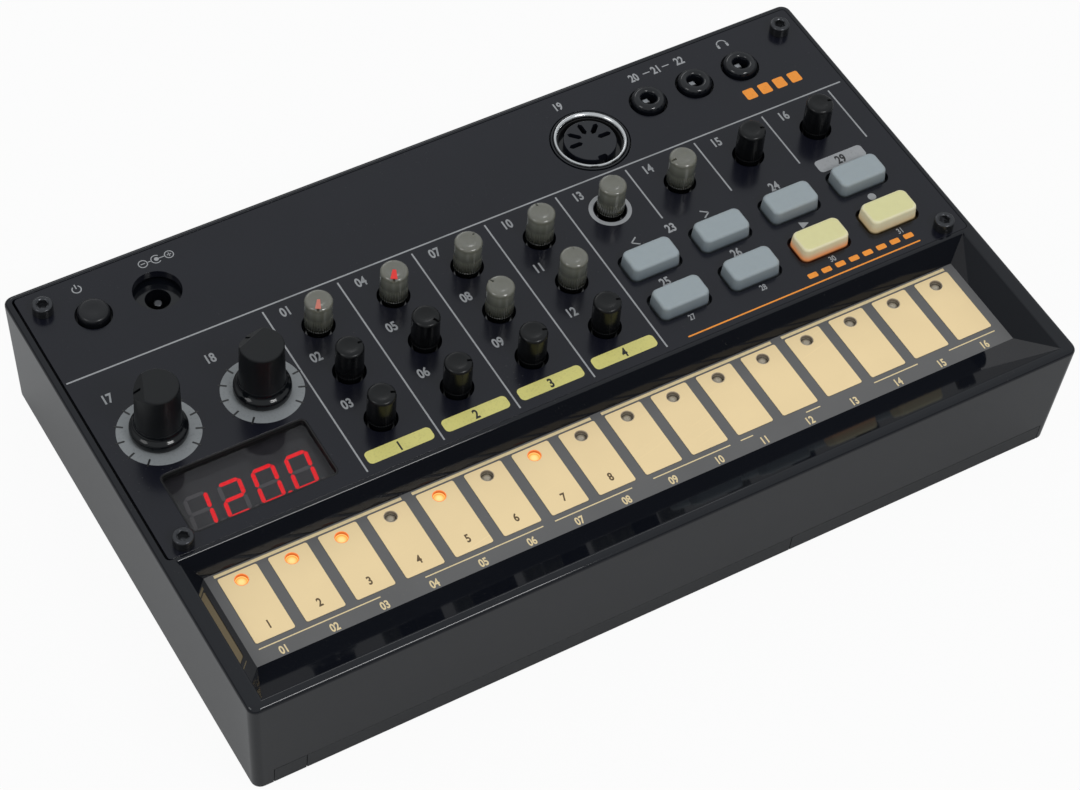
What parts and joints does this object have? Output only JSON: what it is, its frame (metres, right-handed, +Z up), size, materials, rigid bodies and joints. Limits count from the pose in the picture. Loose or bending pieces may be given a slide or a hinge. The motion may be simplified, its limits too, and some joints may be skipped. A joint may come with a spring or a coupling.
{
  "type": "drum machine",
  "caption": "Small flat drum machine with a recessed touch keyboard, rows of small knobs, two dials, soft step buttons, a digit display and top sockets.",
  "frame": {"origin": "on the table under the middle of the case", "axes": "+X to the right of the player, +Y to the back, +Z up"},
  "size_m": [0.193, 0.115, 0.046],
  "materials": {
    "case_gloss": "glossy black moulding with fine scratches",
    "bottom_matte": "fine spark-eroded black moulding",
    "panel_satin": "satin dark blue-grey with printed lines",
    "key_plate": "satin slate grey with printed lines and numbers",
    "key_cream": "smooth cream-gold touch key",
    "lamp_lens": "milky lamp lens",
    "display_tint": "smoked window",
    "display_face": "seven-segment module, grey face with red segments",
    "board_green": "solder-masked circuit board",
    "black_nylon": "moulded nylon",
    "speaker_steel": "pressed steel basket and magnet",
    "paper_cone": "pressed paper",
    "spring_steel": "nickel-plated spring steel",
    "cell_sleeve": "plain printed sleeve",
    "socket_black": "glossy black moulding",
    "contact_block": "satin black moulding",
    "bright_ring": "plated steel ring",
    "black_screw": "black-oxide steel",
    "foot_rubber": "soft rubber",
    "pot_body": "moulded potentiometer body",
    "knob_black": "glossy black moulding",
    "knob_smoky": "smoky translucent moulding with fine flutes",
    "button_grey": "satin pale blue-grey rubber",
    "button_lit": "milky translucent rubber, lit from below",
    "print_grey": "pale grey printing ink",
    "print_dark": "black printing ink",
    "print_orange": "orange printing ink",
    "print_yellow": "pale yellow printing ink",
    "print_cream": "cream printing ink",
    "light_red": "lit red display segment",
    "light_amber": "lit amber lamp"
  },
  "bodies": {
    "case": {"top_case": "case_gloss", "control_panel": "panel_satin", "bottom_case": "bottom_matte", "keyboard_plate": "key_plate", "touch_pads": "key_cream", "key_lenses": "lamp_lens", "display_window": "display_tint", "display_module": "display_face", "main_board": "board_green", "key_board": "board_green", "board_header": "black_nylon", "speaker": "speaker_steel", "speaker_cone": "paper_cone", "battery_contacts": "spring_steel", "aa_cells": "cell_sleeve", "dc_jack": "socket_black", "dc_pin": "spring_steel", "din_housing": "socket_black", "din_shell": "bright_ring", "din_insert": "contact_block", "sync_in_jack": "socket_black", "sync_out_jack": "socket_black", "headphone_jack": "socket_black", "panel_screws": "black_screw", "case_screws": "black_screw", "board_screws": "spring_steel", "rubber_feet": "foot_rubber", "small_pots": "pot_body", "dial_pots": "spring_steel", "tact_switches": "black_nylon"},
    "battery_cover": {"battery_cover": "bottom_matte"},
    "power_button": {"power_button": "knob_black"},
    "left_dial": {"left_dial": "knob_black", "left_dial_shaft": "spring_steel"},
    "right_dial": {"right_dial": "knob_black", "right_dial_shaft": "spring_steel"},
    "knob_c1_r1": {"knob_c1_r1": "knob_smoky"},
    "knob_c1_r2": {"knob_c1_r2": "knob_black"},
    "knob_c1_r3": {"knob_c1_r3": "knob_black"},
    "knob_c2_r1": {"knob_c2_r1": "knob_smoky"},
    "knob_c2_r2": {"knob_c2_r2": "knob_black"},
    "knob_c2_r3": {"knob_c2_r3": "knob_black"},
    "knob_c3_r1": {"knob_c3_r1": "knob_smoky"},
    "knob_c3_r2": {"knob_c3_r2": "knob_smoky"},
    "knob_c3_r3": {"knob_c3_r3": "knob_black"},
    "knob_c4_r1": {"knob_c4_r1": "knob_smoky"},
    "knob_c4_r2": {"knob_c4_r2": "knob_smoky"},
    "knob_c4_r3": {"knob_c4_r3": "knob_black"},
    "knob_c5_r1": {"knob_c5_r1": "knob_smoky"},
    "knob_c6_r1": {"knob_c6_r1": "knob_smoky"},
    "knob_c7_r1": {"knob_c7_r1": "knob_black"},
    "knob_c8_r1": {"knob_c8_r1": "knob_black"},
    "button_c1_r1": {"button_c1_r1": "button_grey"},
    "button_c1_r2": {"button_c1_r2": "button_grey"},
    "button_c2_r1": {"button_c2_r1": "button_grey"},
    "button_c2_r2": {"button_c2_r2": "button_grey"},
    "button_c3_r1": {"button_c3_r1": "button_grey"},
    "button_c3_r2": {"button_c3_r2": "button_lit"},
    "button_c4_r1": {"button_c4_r1": "button_grey"},
    "button_c4_r2": {"button_c4_r2": "button_lit"}
  },
  "joints": [
    {"name": "left_dial_turn", "type": "hinge", "parent": "case", "child": "left_dial", "pos_m": [-0.0826, 0.0109, 0.0315], "axis": [0, 0, 1], "range_deg": [-210, 70]},
    {"name": "right_dial_turn", "type": "hinge", "parent": "case", "child": "right_dial", "pos_m": [-0.0595, 0.0109, 0.0315], "axis": [0, 0, 1], "range_deg": [-162, 118]},
    {"name": "knob_c1_r1_turn", "type": "hinge", "parent": "case", "child": "knob_c1_r1", "pos_m": [-0.0416, 0.02081, 0.0315], "axis": [0, 0, 1], "range_deg": [-300, 0]},
    {"name": "knob_c1_r2_turn", "type": "hinge", "parent": "case", "child": "knob_c1_r2", "pos_m": [-0.0416, 0.00713, 0.0315], "axis": [0, 0, 1], "range_deg": [-57, 243]},
    {"name": "knob_c1_r3_turn", "type": "hinge", "parent": "case", "child": "knob_c1_r3", "pos_m": [-0.0416, -0.00655, 0.0315], "axis": [0, 0, 1], "range_deg": [-40, 260]},
    {"name": "knob_c2_r1_turn", "type": "hinge", "parent": "case", "child": "knob_c2_r1", "pos_m": [-0.02404, 0.02081, 0.0315], "axis": [0, 0, 1], "range_deg": [-300, 0]},
    {"name": "knob_c2_r2_turn", "type": "hinge", "parent": "case", "child": "knob_c2_r2", "pos_m": [-0.02404, 0.00713, 0.0315], "axis": [0, 0, 1], "range_deg": [0, 300]},
    {"name": "knob_c2_r3_turn", "type": "hinge", "parent": "case", "child": "knob_c2_r3", "pos_m": [-0.02404, -0.00655, 0.0315], "axis": [0, 0, 1], "range_deg": [-42, 258]},
    {"name": "knob_c3_r1_turn", "type": "hinge", "parent": "case", "child": "knob_c3_r1", "pos_m": [-0.00648, 0.02081, 0.0315], "axis": [0, 0, 1], "range_deg": [-90, 210]},
    {"name": "knob_c3_r2_turn", "type": "hinge", "parent": "case", "child": "knob_c3_r2", "pos_m": [-0.00648, 0.00713, 0.0315], "axis": [0, 0, 1], "range_deg": [-180, 120]},
    {"name": "knob_c3_r3_turn", "type": "hinge", "parent": "case", "child": "knob_c3_r3", "pos_m": [-0.00648, -0.00655, 0.0315], "axis": [0, 0, 1], "range_deg": [-44, 256]},
    {"name": "knob_c4_r1_turn", "type": "hinge", "parent": "case", "child": "knob_c4_r1", "pos_m": [0.01108, 0.02081, 0.0315], "axis": [0, 0, 1], "range_deg": [-150, 150]},
    {"name": "knob_c4_r2_turn", "type": "hinge", "parent": "case", "child": "knob_c4_r2", "pos_m": [0.01108, 0.00713, 0.0315], "axis": [0, 0, 1], "range_deg": [-130, 170]},
    {"name": "knob_c4_r3_turn", "type": "hinge", "parent": "case", "child": "knob_c4_r3", "pos_m": [0.01108, -0.00655, 0.0315], "axis": [0, 0, 1], "range_deg": [-45, 255]},
    {"name": "knob_c5_r1_turn", "type": "hinge", "parent": "case", "child": "knob_c5_r1", "pos_m": [0.02864, 0.02081, 0.0315], "axis": [0, 0, 1], "range_deg": [-120, 180]},
    {"name": "knob_c6_r1_turn", "type": "hinge", "parent": "case", "child": "knob_c6_r1", "pos_m": [0.0462, 0.02081, 0.0315], "axis": [0, 0, 1], "range_deg": [-240, 60]},
    {"name": "knob_c7_r1_turn", "type": "hinge", "parent": "case", "child": "knob_c7_r1", "pos_m": [0.06376, 0.02081, 0.0315], "axis": [0, 0, 1], "range_deg": [-45, 255]},
    {"name": "knob_c8_r1_turn", "type": "hinge", "parent": "case", "child": "knob_c8_r1", "pos_m": [0.08132, 0.02081, 0.0315], "axis": [0, 0, 1], "range_deg": [-51, 249]},
    {"name": "power_button_press", "type": "slide", "parent": "case", "child": "power_button", "axis": [0, 0, -1], "range_m": [0, 0.0008], "stiffness_N_per_m": 1500, "springref_m": -0.0003},
    {"name": "button_c1_r1_press", "type": "slide", "parent": "case", "child": "button_c1_r1", "axis": [0, 0, -1], "range_m": [0, 0.0008], "stiffness_N_per_m": 1500, "springref_m": -0.0003},
    {"name": "button_c1_r2_press", "type": "slide", "parent": "case", "child": "button_c1_r2", "axis": [0, 0, -1], "range_m": [0, 0.0008], "stiffness_N_per_m": 1500, "springref_m": -0.0003},
    {"name": "button_c2_r1_press", "type": "slide", "parent": "case", "child": "button_c2_r1", "axis": [0, 0, -1], "range_m": [0, 0.0008], "stiffness_N_per_m": 1500, "springref_m": -0.0003},
    {"name": "button_c2_r2_press", "type": "slide", "parent": "case", "child": "button_c2_r2", "axis": [0, 0, -1], "range_m": [0, 0.0008], "stiffness_N_per_m": 1500, "springref_m": -0.0003},
    {"name": "button_c3_r1_press", "type": "slide", "parent": "case", "child": "button_c3_r1", "axis": [0, 0, -1], "range_m": [0, 0.0008], "stiffness_N_per_m": 1500, "springref_m": -0.0003},
    {"name": "button_c3_r2_press", "type": "slide", "parent": "case", "child": "button_c3_r2", "axis": [0, 0, -1], "range_m": [0, 0.0008], "stiffness_N_per_m": 1500, "springref_m": -0.0003},
    {"name": "button_c4_r1_press", "type": "slide", "parent": "case", "child": "button_c4_r1", "axis": [0, 0, -1], "range_m": [0, 0.0008], "stiffness_N_per_m": 1500, "springref_m": -0.0003},
    {"name": "button_c4_r2_press", "type": "slide", "parent": "case", "child": "button_c4_r2", "axis": [0, 0, -1], "range_m": [0, 0.0008], "stiffness_N_per_m": 1500, "springref_m": -0.0003},
    {"name": "battery_cover_slide", "type": "slide", "parent": "case", "child": "battery_cover", "axis": [0, -1, 0], "range_m": [0, 0.046]}
  ]
}
